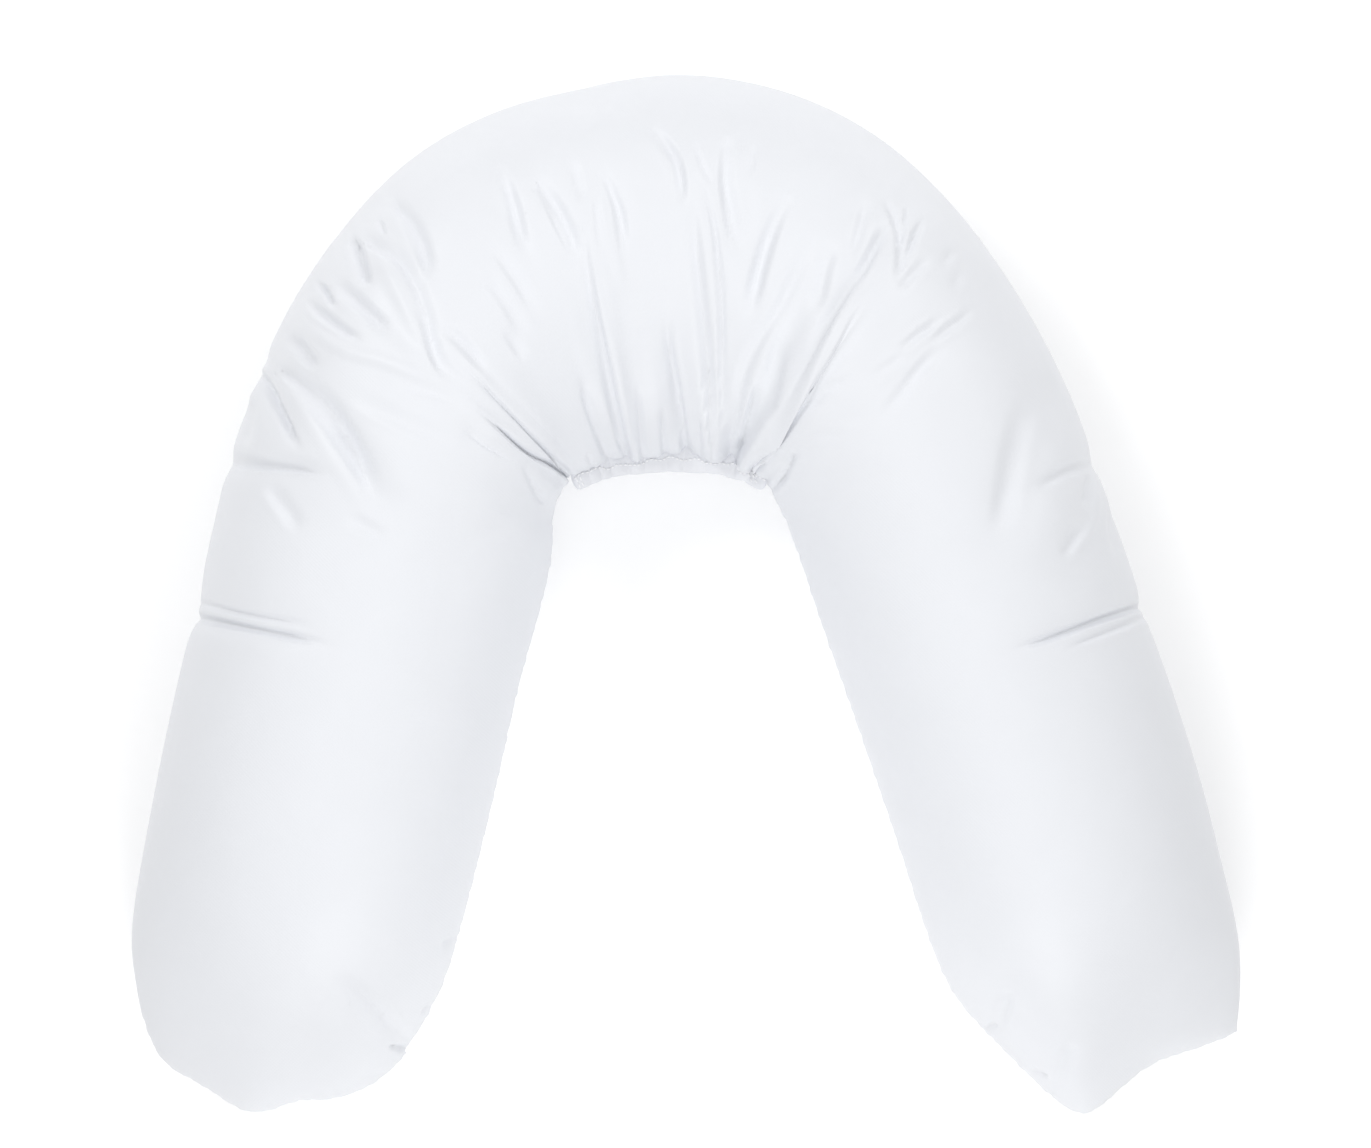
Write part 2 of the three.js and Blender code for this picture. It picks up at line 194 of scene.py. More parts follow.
# %% Floor
FLOOR_SIZE = 12.0
FLOOR_WHITE, FLOOR_GLOW = 0.9, 0.2
FLOOR_ROUGH, FLOOR_SHINE = 0.9, 0.1
plane = bmesh.new()
bmesh.ops.create_grid(plane, x_segments=2, y_segments=2, size=FLOOR_SIZE / 2)
floor_mesh = bpy.data.meshes.new("floor")
plane.to_mesh(floor_mesh)
plane.free()
floor = link(bpy.data.objects.new("floor", floor_mesh))
floor_paint = bpy.data.materials.new("pale_floor")
floor_paint.use_nodes = True
paint = floor_paint.node_tree.nodes["Principled BSDF"]
paint.inputs["Base Color"].default_value = (FLOOR_WHITE, FLOOR_WHITE, FLOOR_WHITE, 1)
paint.inputs["Roughness"].default_value = FLOOR_ROUGH
paint.inputs["Specular IOR Level"].default_value = FLOOR_SHINE
paint.inputs["Emission Color"].default_value = (1, 1, 1, 1)
paint.inputs["Emission Strength"].default_value = FLOOR_GLOW
floor_mesh.materials.append(floor_paint)
print("floor", FLOOR_SIZE, "m wide")

# %% [markdown]
# ## The pillow's cloth
# The cover is one cloth all round, and the solid already has its shape with the
# main folds. It could be modelled again from a plane, but a copy keeps it true to
# the solid. The solid is loose triangles, so the copy is merged, and its pairs of
# triangles are joined to the four-sided faces of the rings they came from. It is
# slid in below the camera, and one subdivision gives it enough points to bend.

# %% Copy the solid
MERGE_WITHIN = 0.02 * MM
FLAT_WITHIN, SHAPE_WITHIN = math.radians(60), math.radians(120)
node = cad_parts["pillow"]
cloth = bmesh.new()
cloth.from_mesh(node.data)
bmesh.ops.remove_doubles(cloth, verts=cloth.verts, dist=MERGE_WITHIN)
bmesh.ops.join_triangles(
    cloth, faces=cloth.faces, cmp_seam=False, cmp_sharp=False, cmp_uvs=False,
    cmp_vcols=False, cmp_materials=False,
    angle_face_threshold=FLAT_WITHIN, angle_shape_threshold=SHAPE_WITHIN)
bmesh.ops.recalc_face_normals(cloth, faces=cloth.faces)
pillow_mesh = bpy.data.meshes.new("pillow_cover")
cloth.to_mesh(pillow_mesh)
sides = [len(f.verts) for f in cloth.faces]
cloth.free()
pillow = link(bpy.data.objects.new("pillow_cover", pillow_mesh))
put_points(pillow_mesh, below_camera(points_of(pillow_mesh)))
print("faces:", len(sides), "four-sided:", sides.count(4))

# %% Subdivide once
finer = pillow.modifiers.new("finer", "SUBSURF")
finer.levels = finer.render_levels = 1
keep_modifiers(pillow)
print("points for the cloth:", len(pillow.data.vertices))

# %% [markdown]
# ## Puffing it up
# The filling presses from inside. Pushing every point out by the same amount would
# only make the pillow fatter, while cloth with pressure and without gravity finds
# the round, slightly tense shape of a stuffed cover. The underside and the inner
# seam stay pinned, and no point may move further than a few millimetres.

# %% Paths across the cloth
INNER_SEAM = [(404, 1056), (436, 1000), (458, 936), (496, 790), (519, 688), (546, 588),
              (552, 548), (555, 515),
              (561, 498), (571, 488), (590, 476), (614, 470), (640, 467), (672, 462),
              (705, 463), (735, 471),
              (763, 484), (776, 500), (788, 525), (803, 551), (819, 603), (848, 686),
              (902, 842), (928, 922),
              (953, 980), (992, 1024)]


def smooth_path(corners, step=2 * MM):
    """A path through the corners with a point every few millimetres."""
    corners = np.asarray(corners, float)
    before = 2 * corners[0] - corners[1]
    after = 2 * corners[-1] - corners[-2]
    padded = np.vstack([before, corners, after])
    parts = []
    for a, b, c, d in zip(padded, padded[1:], padded[2:], padded[3:]):
        count = max(2, int(np.linalg.norm(c - b) / step))
        t = np.linspace(0, 1, count, endpoint=False)[:, None]
        parts.append(0.5 * (2 * b + (c - a) * t + (2 * a - 5 * b + 4 * c - d) * t ** 2
                            + (3 * b - a - 3 * c + d) * t ** 3))
    return np.vstack(parts + [corners[-1:]])


def across_path(places, path):
    """For each place: how far it is from the path, left positive, and how far along, 0 to 1."""
    legs = path[1:] - path[:-1]
    lengths = np.linalg.norm(legs, axis=1)
    run = np.concatenate([[0], np.cumsum(lengths)])
    best = np.full(len(places), np.inf)
    side = np.zeros(len(places))
    along = np.zeros(len(places))
    for first, leg, length, done in zip(path, legs, lengths, run):
        toward = places - first
        t = np.clip(toward @ leg / length ** 2, 0, 1)
        off = toward - t[:, None] * leg
        gap = np.hypot(off[:, 0], off[:, 1])
        near = gap < best
        best[near] = gap[near]
        turn = leg[0] * off[:, 1] - leg[1] * off[:, 0]
        side[near] = np.sign(turn[near])
        along[near] = (done + t[near] * length) / run[-1]
    return best * side, along


# %% Cloth with pressure
PUFF = 4.0
PUFF_FRAMES, PUFF_QUALITY = 20, 4
MOST_MOVE = 2.6 * MM
HELD_BELOW, FREE_ABOVE = 4 * MM, 30 * MM
HELD_BESIDE_SEAM, FREE_FROM_SEAM = 4 * MM, 30 * MM
SEAM_HELD_TO, SEAM_FREE_FROM = 110 * MM, 150 * MM
LEAST_WEIGHT = 0.01
start = points_of(pillow.data)
pins = pillow.vertex_groups.new(name="held")
lying = 1 - ease(start[:, 2], HELD_BELOW, FREE_ABOVE)
seam = np.array([spot(px, py) for px, py in INNER_SEAM])
away = np.abs(across_path(start[:, :2], smooth_path(seam))[0])
sewn = 1 - ease(away, HELD_BESIDE_SEAM, FREE_FROM_SEAM)
sewn *= 1 - ease(start[:, 2], SEAM_HELD_TO, SEAM_FREE_FROM)
for i, weight in enumerate(np.maximum(lying, sewn)):
    if weight > LEAST_WEIGHT:
        pins.add([i], float(weight), "REPLACE")
filling = pillow.modifiers.new("filling", "CLOTH")
filling.settings.use_pressure = True
filling.settings.uniform_pressure_force = PUFF
filling.settings.effector_weights.gravity = 0
filling.settings.vertex_group_mass = "held"
filling.settings.quality = PUFF_QUALITY
for number in range(1, PUFF_FRAMES + 1):
    scene.frame_set(number)
seen = pillow.evaluated_get(bpy.context.evaluated_depsgraph_get())
puffed = points_of(seen.data)
pillow.modifiers.clear()
pillow.vertex_groups.clear()
scene.frame_set(1)
move = puffed - start
far = np.linalg.norm(move, axis=1)
print("cloth moved", round(far.mean() / MM, 2), "mm on average and", round(far.max() / MM, 1),
      "mm at most, before the limit")
move *= (np.minimum(far, MOST_MOVE) / np.maximum(far, 1e-9))[:, None]
put_points(pillow.data, start + move)

# %% [markdown]
# ## Fine cloth for the folds
# Small folds need points a few millimetres apart. The simulation would be slow on
# so many, so the second subdivision comes after it, and rounds the cloth as well.

# %% Subdivide again
finer = pillow.modifiers.new("finer", "SUBSURF")
finer.levels = finer.render_levels = 1
keep_modifiers(pillow)
pillow.data.shade_smooth()
print("points:", len(pillow.data.vertices), "triangles:", 2 * len(pillow.data.polygons))

# %% [markdown]
# ## Folds
# Cloth that is too long for its filling falls into valleys. They could be sculpted
# with brushes, but a table of paths can be read, changed and run again. Each fold
# is a path along the bottom of its valley, read off the picture in pixels. deep is
# in millimetres, and below zero it is a ridge. wide is the reach of the two walls
# in millimetres, right and left of the way that the path runs, lips are how far
# the cloth beside them stands up, sharp runs from a round trough, 0, to a crease,
# 1, and ends says how the fold starts and stops: 0 fades out, 1 goes on at full
# depth.

# %% Fold table
Fold = namedtuple("Fold", "path deep wide lips sharp ends")
LEFT_SHOULDER = [
    Fold([(446, 350), (470, 374), (497, 401), (520, 424), (545, 448), (565, 468), (577, 484)],
         4.2, (6.2, 5.6), (0.5, 1.2), 0.4, (0, 1)),
    Fold([(478, 412), (500, 430), (525, 452), (545, 463), (562, 475), (578, 489)],
         6.5, (3.2, 3.4), (0.6, 0.8), 1.0, (0.1, 1)),
    Fold([(463, 428), (483, 445), (517, 464)], 1.8, (2.8, 3.0), (0.2, 0.2), 0.7, (0, 0)),
    Fold([(374, 247), (391, 254), (404, 268), (415, 290), (423, 313), (428, 334), (434, 356),
          (442, 374), (453, 386)],
         5.4, (6.0, 13.0), (0.0, 0.0), 0.4, (0.7, 0)),
    Fold([(370, 250), (383, 262), (394, 280), (404, 300), (414, 322), (424, 348), (434, 372),
          (446, 386)],
         -3.2, (14.0, 5.4), (0.0, 0.0), 0.2, (0.4, 0)),
    Fold([(399, 211), (411, 224), (419, 240), (423, 256), (427, 280)],
         4.4, (5.0, 11.0), (0.0, 0.0), 0.3, (0.7, 0)),
    Fold([(393, 214), (406, 236), (414, 256), (424, 282)],
         -2.2, (10.0, 4.4), (0.0, 0.0), 0.2, (0.3, 0)),
    Fold([(356, 245), (360, 258), (364, 272), (368, 288)],
         6.0, (8.0, 5.6), (0.3, 0.6), 0.4, (1, 0)),
    Fold([(316, 281), (326, 292), (334, 308)], 3.8, (3.8, 4.2), (0.3, 0.6), 0.6, (0, 0)),
    Fold([(307, 298), (318, 311), (330, 320), (345, 331), (365, 341)],
         4.2, (5.2, 6.4), (0.8, 0.2), 0.3, (0, 0)),
    Fold([(344, 289), (356, 299), (372, 314), (393, 333)],
         4.8, (8.6, 8.0), (1.2, 0.2), 0.2, (0.6, 0)),
    Fold([(380, 219), (383, 236)], 2.1, (3.4, 3.4), (0.2, 0.2), 0.5, (0, 0)),
    Fold([(288, 334), (302, 350), (316, 372)], 4.6, (7.4, 8.0), (0.6, 0.3), 0.2, (0.1, 0)),
    Fold([(297, 322), (342, 349), (385, 362), (425, 378), (460, 396)],
         -2.2, (7.4, 7.4), (0.0, 0.0), 0.2, (0, 0)),
    Fold([(345, 392), (375, 409), (410, 426), (460, 447)],
         1.6, (7.0, 12.6), (0.5, 0.0), 0.1, (0, 0)),
    Fold([(394, 383), (430, 393), (467, 404)], 1.9, (7.0, 10.4), (0.4, 0.0), 0.1, (0, 0)),
    Fold([(257, 365), (268, 385), (278, 405), (290, 430), (302, 452)],
         6.0, (6.5, 4.4), (0.5, 1.1), 0.5, (0.2, 0)),
    Fold([(288, 376), (308, 390), (325, 407), (340, 430), (354, 456), (366, 482), (380, 508)],
         5.2, (6.0, 13.0), (0.0, 0.0), 0.4, (0.7, 0)),
    Fold([(280, 379), (299, 400), (318, 425), (334, 450), (349, 475), (364, 501), (378, 516)],
         -3.0, (14.0, 5.4), (0.0, 0.0), 0.2, (0.4, 0)),
    Fold([(227, 465), (285, 469), (327, 474)], 4.2, (3.2, 13.0), (0.6, 0.0), 0.5, (0.4, 0)),
    Fold([(264, 480), (282, 505), (302, 532)], 3.1, (7.2, 10.4), (0.9, 0.0), 0.1, (0, 0)),
    Fold([(347, 516), (384, 538)], 1.8, (7.4, 7.8), (0.4, 0.4), 0.1, (0, 0)),
    Fold([(250, 392), (245, 425), (239, 452)], 3.6, (7.4, 9.1), (0.3, 0.3), 0.2, (0, 0.2)),
    Fold([(434, 330), (450, 333), (468, 350), (485, 373)],
         3.0, (6.6, 7.8), (0.3, 0.9), 0.2, (0, 0)),
    Fold([(505, 328), (526, 360)], 2.0, (6.2, 7.8), (0.3, 0.3), 0.1, (0, 0)),
    Fold([(486, 238), (512, 272), (540, 318)], 2.2, (7.4, 9.1), (0.6, 0.4), 0.1, (0, 0)),
    Fold([(480, 270), (505, 300), (530, 345)], 1.8, (7.4, 9.1), (0.6, 0.4), 0.1, (0, 0)),
    Fold([(523, 462), (532, 482), (541, 500)], 2.8, (4.4, 5.2), (0.3, 0.4), 0.4, (0, 0.6)),
]
CROWN = [
    Fold([(501, 171), (511, 196), (519, 228), (522, 254)],
         2.8, (6.5, 6.8), (1.0, 0.7), 0.4, (0.3, 0)),
    Fold([(541, 188), (553, 203), (563, 220), (572, 240), (578, 266)],
         3.8, (5.6, 9.0), (0.0, 0.0), 0.3, (0.6, 0)),
    Fold([(535, 196), (547, 218), (558, 240), (572, 268)],
         -2.0, (10.0, 4.6), (0.0, 0.0), 0.2, (0.3, 0)),
    Fold([(572, 158), (578, 182), (581, 204)], 2.0, (6.5, 6.5), (0.3, 0.3), 0.2, (0, 0)),
    Fold([(603, 190), (609, 225), (617, 262), (623, 292)],
         -2.0, (6.6, 6.6), (0.0, 0.0), 0.0, (0, 0)),
    Fold([(596, 188), (598, 226), (604, 262)], 1.4, (4.6, 4.6), (0.2, 0.2), 0.3, (0, 0)),
    Fold([(600, 165), (612, 192), (620, 215), (626, 250)],
         2.4, (5.2, 5.8), (0.7, 0.3), 0.5, (0, 0)),
    Fold([(583, 231), (586, 252), (591, 285), (600, 335), (610, 385), (619, 425), (626, 458)],
         2.6, (6.6, 4.8), (0.3, 0.8), 0.3, (0.3, 0.6)),
    Fold([(589, 258), (596, 290), (605, 325), (614, 360), (621, 395), (628, 440)],
         -1.6, (4.4, 7.0), (0.0, 0.0), 0.0, (0.3, 0.2)),
    Fold([(580, 378), (590, 412), (600, 440), (611, 467)],
         2.8, (4.6, 5.4), (0.4, 0.9), 0.6, (0, 0.8)),
    Fold([(616, 438), (627, 460)], 1.8, (2.8, 3.0), (0.2, 0.2), 0.6, (0, 0.8)),
    Fold([(637, 385), (640, 425), (643, 459)], 2.2, (3.4, 4.6), (0.3, 0.4), 0.5, (0, 0.7)),
    Fold([(662, 404), (663, 430), (665, 458)], 2.8, (3.9, 4.6), (0.3, 0.4), 0.6, (0, 0.7)),
    Fold([(667, 313), (669, 348), (676, 388), (682, 425), (687, 456)],
         3.8, (5.8, 4.8), (0.2, 1.6), 0.6, (0, 0.7)),
    Fold([(692, 193), (696, 240), (702, 300), (708, 360), (711, 405), (711, 452)],
         3.6, (8.0, 5.0), (0.3, 0.8), 0.4, (0, 0.7)),
    Fold([(699, 203), (707, 245), (712, 290), (716, 340), (717, 390), (715, 432)],
         -1.4, (5.4, 5.4), (0.0, 0.0), 0.0, (0.3, 0.3)),
    Fold([(686, 172), (697, 178), (706, 194), (713, 222), (718, 258), (721, 300), (722, 350),
          (721, 405)],
         2.6, (3.6, 4.6), (0.9, 0.2), 0.7, (0, 0)),
    Fold([(654, 132), (668, 146), (679, 168), (683, 208)],
         4.0, (7.2, 5.6), (0.8, 0.7), 0.4, (0.3, 0)),
    Fold([(726, 146), (725, 180), (730, 218), (736, 258)],
         4.4, (6.8, 9.6), (0.4, 1.0), 0.4, (0.5, 0)),
    Fold([(693, 138), (702, 165), (713, 188)], 1.6, (3.9, 3.9), (0.3, 0.3), 0.4, (0, 0)),
    Fold([(739, 130), (743, 153)], 1.0, (3.9, 3.9), (0.1, 0.1), 0.3, (0, 0)),
    Fold([(756, 140), (750, 176)], 1.3, (4.4, 4.4), (0.3, 0.3), 0.3, (0, 0)),
    Fold([(784, 203), (768, 238), (757, 275), (748, 318)],
         4.4, (7.8, 8.0), (0.3, 1.4), 0.4, (0.4, 0)),
    Fold([(814, 230), (797, 270), (779, 308), (760, 338), (746, 366), (738, 396), (733, 440),
          (731, 460)],
         3.4, (8.2, 7.8), (0.3, 1.0), 0.4, (0, 0.7)),
    Fold([(757, 380), (749, 412), (742, 440), (737, 462)],
         3.0, (4.1, 5.8), (0.3, 0.7), 0.6, (0, 0.7)),
    Fold([(780, 335), (774, 380), (766, 430)], 2.4, (8.4, 8.4), (0.3, 0.5), 0.1, (0, 0)),
    Fold([(697, 414), (700, 455)], 1.6, (2.8, 3.0), (0.2, 0.2), 0.5, (0, 0.7)),
    Fold([(586, 452), (593, 470)], 1.6, (2.8, 3.0), (0.2, 0.2), 0.5, (0, 0.8)),
    Fold([(834, 240), (823, 272), (816, 315)], 3.0, (8.4, 8.4), (0.4, 0.9), 0.2, (0, 0)),
]
RIGHT_SHOULDER = [
    Fold([(863, 262), (846, 292), (829, 322), (810, 358), (790, 396), (770, 436), (756, 464)],
         3.0, (8.6, 6.4), (0.3, 0.8), 0.2, (0, 0.3)),
    Fold([(872, 270), (857, 291), (840, 319), (822, 350), (806, 383), (789, 415), (774, 442),
          (760, 464)],
         -2.2, (5.4, 4.6), (0.0, 0.0), 0.0, (0.3, 0.3)),
    Fold([(868, 296), (848, 328), (830, 359), (812, 389)],
         2.4, (3.4, 4.4), (0.2, 0.3), 0.6, (0, 1)),
    Fold([(812, 389), (798, 411), (788, 430), (778, 448), (766, 464), (751, 480)],
         4.8, (3.0, 3.2), (0.4, 0.4), 1.0, (0.4, 0.8)),
    Fold([(888, 221), (876, 244), (864, 266), (854, 286)],
         3.8, (6.0, 6.0), (0.5, 1.2), 0.4, (0, 0)),
    Fold([(869, 196), (861, 226), (850, 262)], 3.0, (7.0, 6.5), (0.5, 1.0), 0.3, (0, 0)),
    Fold([(880, 194), (891, 211), (898, 230), (900, 258), (897, 288)],
         3.2, (5.0, 5.6), (0.8, 0.4), 0.5, (0, 0)),
    Fold([(908, 205), (905, 222), (901, 236)], 2.0, (3.8, 3.8), (0.3, 0.3), 0.4, (0, 0.5)),
    Fold([(924, 217), (914, 236), (904, 262)], 3.6, (4.4, 5.4), (0.3, 0.9), 0.6, (0, 0.3)),
    Fold([(931, 257), (912, 274), (898, 291)], 2.2, (6.4, 6.4), (0.3, 0.6), 0.2, (0, 0)),
    Fold([(952, 248), (945, 266)], 1.1, (6.4, 6.4), (0.2, 0.2), 0.1, (0, 0)),
    Fold([(960, 268), (955, 292)], 1.1, (6.4, 6.4), (0.2, 0.2), 0.1, (0, 0)),
    Fold([(975, 309), (956, 322), (930, 341)], 1.9, (4.7, 5.4), (0.8, 0.8), 0.4, (0, 0)),
    Fold([(942, 319), (919, 334), (899, 351)], 1.9, (4.7, 5.4), (0.8, 0.8), 0.4, (0, 0)),
    Fold([(945, 345), (921, 368), (901, 395), (880, 420)],
         2.2, (6.4, 7.2), (0.7, 0.6), 0.2, (0, 0)),
    Fold([(906, 355), (870, 378)], 1.3, (5.6, 5.6), (0.3, 0.3), 0.2, (0, 0)),
    Fold([(850, 374), (826, 392), (803, 416)], 1.5, (4.7, 4.7), (0.5, 0.3), 0.2, (0, 0)),
    Fold([(1036, 388), (1021, 415), (1011, 450), (1004, 490), (998, 520), (990, 542)],
         2.6, (9.1, 13.0), (0.4, 1.4), 0.2, (0, 0)),
    Fold([(1036, 490), (1050, 480), (1068, 471), (1090, 466)],
         2.4, (5.8, 7.0), (0.5, 0.3), 0.3, (0, 0.4)),
    Fold([(1089, 468), (1088, 490), (1083, 510)], 3.0, (5.0, 6.6), (0.3, 0.9), 0.4, (0.2, 0)),
    Fold([(1097, 482), (1095, 515), (1085, 537), (1065, 562)],
         -1.8, (6.0, 6.0), (0.0, 0.0), 0.1, (0, 0)),
    Fold([(1081, 524), (1062, 560)], 2.2, (7.0, 6.0), (0.3, 0.4), 0.2, (0, 0)),
    Fold([(1110, 498), (1113, 530), (1119, 562)], 2.2, (5.8, 5.8), (0.3, 0.3), 0.3, (0, 0)),
    Fold([(799, 446), (790, 461), (783, 476), (770, 491)],
         3.6, (3.8, 4.8), (0.3, 0.7), 0.6, (0, 0.8)),
]
LEGS = [
    Fold([(190, 617), (253, 629), (330, 644)], 3.9, (4.1, 4.6), (0.5, 0.9), 0.7, (0.6, 0)),
    Fold([(192, 601), (245, 614), (314, 625)], 2.3, (4.1, 4.6), (0.7, 0.3), 0.5, (0.6, 0)),
    Fold([(1010, 649), (1044, 640), (1105, 618), (1146, 606)],
         3.9, (4.1, 4.6), (0.9, 0.5), 0.7, (0, 0.6)),
    Fold([(1061, 650), (1105, 633), (1148, 616)], 2.1, (4.1, 4.6), (0.5, 0.5), 0.5, (0, 0.6)),
]
ENDS = [
    Fold([(411, 1050), (387, 1046)], 3.4, (3.4, 3.6), (0.5, 0.5), 0.8, (0.6, 0)),
    Fold([(404, 1037), (370, 1003), (333, 975)], 2.3, (9.1, 9.1), (0.7, 0.7), 0.2, (0.6, 0)),
    Fold([(434, 1004), (421, 1013)], 3.0, (3.4, 3.4), (0.4, 0.4), 0.7, (1, 0)),
    Fold([(458, 936), (440, 946)], 2.5, (4.1, 4.1), (0.4, 0.4), 0.6, (1, 0)),
    Fold([(984, 1029), (997, 1026)], 3.0, (3.0, 3.0), (0.4, 0.4), 0.8, (0.6, 0)),
    Fold([(999, 1026), (1005, 1008), (1011, 990)], 2.6, (6.5, 7.8), (0.5, 0.5), 0.3, (0.6, 0)),
    Fold([(1034, 1072), (1048, 1078)], 3.0, (3.0, 3.0), (0.4, 0.4), 0.8, (0.6, 0)),
    Fold([(1057, 1083), (1066, 1062), (1075, 1040)], 2.3, (7.8, 7.8), (0.5, 0.5), 0.2, (0.6, 0)),
]
# some tucks of the solid are wider than the real ones, so the cloth fills them in part
FILLED_TUCKS = [
    Fold([(577, 483), (434, 337)], -7.0, (12.0, 12.0), (0, 0), 0.0, (0.8, 0)),
    Fold([(573, 491), (458, 402)], -4.0, (10.0, 10.0), (0, 0), 0.0, (0.8, 0)),
    Fold([(752, 482), (878, 277)], -7.0, (12.0, 12.0), (0, 0), 0.0, (0.8, 0)),
    Fold([(737, 442), (742, 486)], -4.0, (7.0, 8.0), (0, 0), 0.0, (0.5, 0)),
    Fold([(776, 444), (754, 484)], -3.5, (7.0, 8.0), (0, 0), 0.0, (0.5, 0)),
    Fold([(246, 343), (257, 365), (266, 383)], -4.0, (12.0, 12.0), (0, 0), 0.0, (0.5, 0)),
]
FOLDS = FILLED_TUCKS + LEFT_SHOULDER + CROWN + RIGHT_SHOULDER + LEGS + ENDS
print("folds:", len(FOLDS))

# %% [markdown]
# ## The section of a fold
# Across a fold the cloth goes down in a trough, and stands up a little on both
# sides, where the length that is taken in has to go. The trough is a narrow one
# plus a broad, shallow one, because stiff cloth bends before it creases. A bump in
# the material could show all this too, but it would be gone in the mesh.

# %% Fold shapes
FADE = 0.32  # the share of a fold's length over which it starts or stops
BROAD, BROAD_SHARE = 2.8, 0.22
LIP_AT, LIP_WIDE, LIP_ROUND = 1.15, 1.0, 1.6


def beside_fold(fold, places, times):
    """The places near a fold, how far to its side they are and how far along it."""
    path = smooth_path([spot(px, py) for px, py in fold.path])
    reach = times * max(fold.wide) * MM
    inside = np.all((places > path.min(0) - reach) & (places < path.max(0) + reach), axis=1)
    near = np.where(inside)[0]
    side, along = across_path(places[near], path)
    return near, side, along


def fold_lift(fold, places):
    """How far a fold lifts the cloth at each place, in metres."""
    lift = np.zeros(len(places))
    near, side, along = beside_fold(fold, places, BROAD)
    wide = np.where(side > 0, fold.wide[1], fold.wide[0]) * MM
    x = np.abs(side) / wide
    round_trough = np.clip(1 - x * x, 0, 1) ** 2
    sharp_trough = np.clip(1 - x, 0, 1) ** 2
    narrow = (1 - fold.sharp) * round_trough + fold.sharp * sharp_trough
    broad = np.clip(1 - (x / BROAD) ** 2, 0, 1) ** 2
    trough = narrow + BROAD_SHARE * broad
    hump = np.clip(1 - np.abs(x - LIP_AT) / LIP_WIDE, 0, 1) ** LIP_ROUND
    lips = np.where(side > 0, fold.lips[1], fold.lips[0]) * hump
    starts, stops = fold.ends
    fade = starts + (1 - starts) * ease(along, 0, FADE)
    fade *= stops + (1 - stops) * (1 - ease(along, 1 - FADE, 1))
    lift[near] = (lips - fold.deep * trough) * fade * MM
    return lift


# %% [markdown]
# ## Points where they count
# A crease needs points closer together than the rest of the cloth. Subdividing
# everything once more would make four times the faces, so the underside, which
# nobody sees, is thinned, and only the edges across a narrow fold are halved.

# %% Lighten the underside
DOWN_FROM, DOWN_TO = -0.75, -0.45  # how far a face looks down, -1 straight down
THIN_BELOW, THICK_ABOVE = 30 * MM, 50 * MM
THIN_TO = 0.72
lower = pillow.vertex_groups.new(name="lower")
places = points_of(pillow.data)
facing = normals_of(pillow.data)
hidden = 1 - ease(facing[:, 2], DOWN_FROM, DOWN_TO)
hidden *= 1 - ease(places[:, 2], THIN_BELOW, THICK_ABOVE)
for i in np.where(hidden > LEAST_WEIGHT)[0]:
    lower.add([int(i)], float(hidden[i]), "REPLACE")
thin = pillow.modifiers.new("thin", "DECIMATE")
thin.ratio = THIN_TO
thin.vertex_group = "lower"
keep_modifiers(pillow)
pillow.vertex_groups.clear()


def triangles_in(mesh):
    """How many triangles a mesh's faces make."""
    return sum(len(f.vertices) - 2 for f in mesh.polygons)


print("triangles now:", triangles_in(pillow.data))

# %% More points across the creases
STEP_OF_WALL = 0.38  # the longest step across a fold, as a share of its wall
SHORTEST = 1.3 * MM
FOLDS_ABOVE = 60 * MM
LOOK_AT, HALVE_WITHIN = 1.6, 1.1  # in widths of the fold
PASSES = 3


def refine(mesh):
    """Halves the edges that cross a narrow fold in too long a step."""
    places = points_of(mesh)
    ends = np.empty(len(mesh.edges) * 2, int)
    mesh.edges.foreach_get("vertices", ends)
    ends = ends.reshape(-1, 2)
    long_ones = np.linalg.norm(places[ends[:, 0]] - places[ends[:, 1]], axis=1) > SHORTEST
    high_ones = places[ends[:, 0], 2] > FOLDS_ABOVE
    chosen = np.zeros(len(ends), bool)
    picture = as_seen(places)
    for fold in FOLDS:
        near, side, along = beside_fold(fold, picture, LOOK_AT)
        across = np.full(len(places), np.nan)
        across[near] = side
        first, last = across[ends[:, 0]], across[ends[:, 1]]
        wide = min(fold.wide) * MM
        with np.errstate(invalid="ignore"):
            close = np.minimum(np.abs(first), np.abs(last)) < HALVE_WITHIN * wide
            chosen |= close & (np.abs(first - last) > STEP_OF_WALL * wide)
    chosen &= long_ones & high_ones
    fine = bmesh.new()
    fine.from_mesh(mesh)
    fine.edges.ensure_lookup_table()
    edges = [fine.edges[i] for i in np.where(chosen)[0]]
    bmesh.ops.subdivide_edges(fine, edges=edges, cuts=1, use_grid_fill=True)
    fine.to_mesh(mesh)
    fine.free()
    print("halved", len(edges), "edges, triangles:", triangles_in(mesh))


for passing in range(PASSES):
    refine(pillow.data)

# %% Fold the cloth
FACING_NONE, FACING_FULL = -0.3, 0.5  # how far a face looks up, 1 straight up
FOLDED_FROM, FOLDED_FULL = 55 * MM, 85 * MM
places = points_of(pillow.data)
facing = normals_of(pillow.data)
upper = ease(facing[:, 2], FACING_NONE, FACING_FULL)
upper *= ease(places[:, 2], FOLDED_FROM, FOLDED_FULL)
lift = np.zeros(len(places))
picture = as_seen(places)
for fold in FOLDS:
    lift += fold_lift(fold, picture)
put_points(pillow.data, places + facing * (lift * upper)[:, None])
print("folds lift the cloth by", round(lift.min() / MM, 1), "to", round(lift.max() / MM, 1), "mm")

# %% [markdown]
# ## Seams
# The cover is sewn along its inner curve and round its two ends, and turned right
# side out, so a seam shows as a fine groove with the cloth rolling into it. The
# stitches pull the cloth a little, and it puckers beside them. A dark line painted
# on would look flat, so the groove is pressed into the mesh. Each seam is drawn as
# a path in the picture, set on the nearest place of the round wall, and the edges
# beside it are halved until they can follow the puckers. Last of all, the few
# points that ended up a hair below the floor are set back on it.

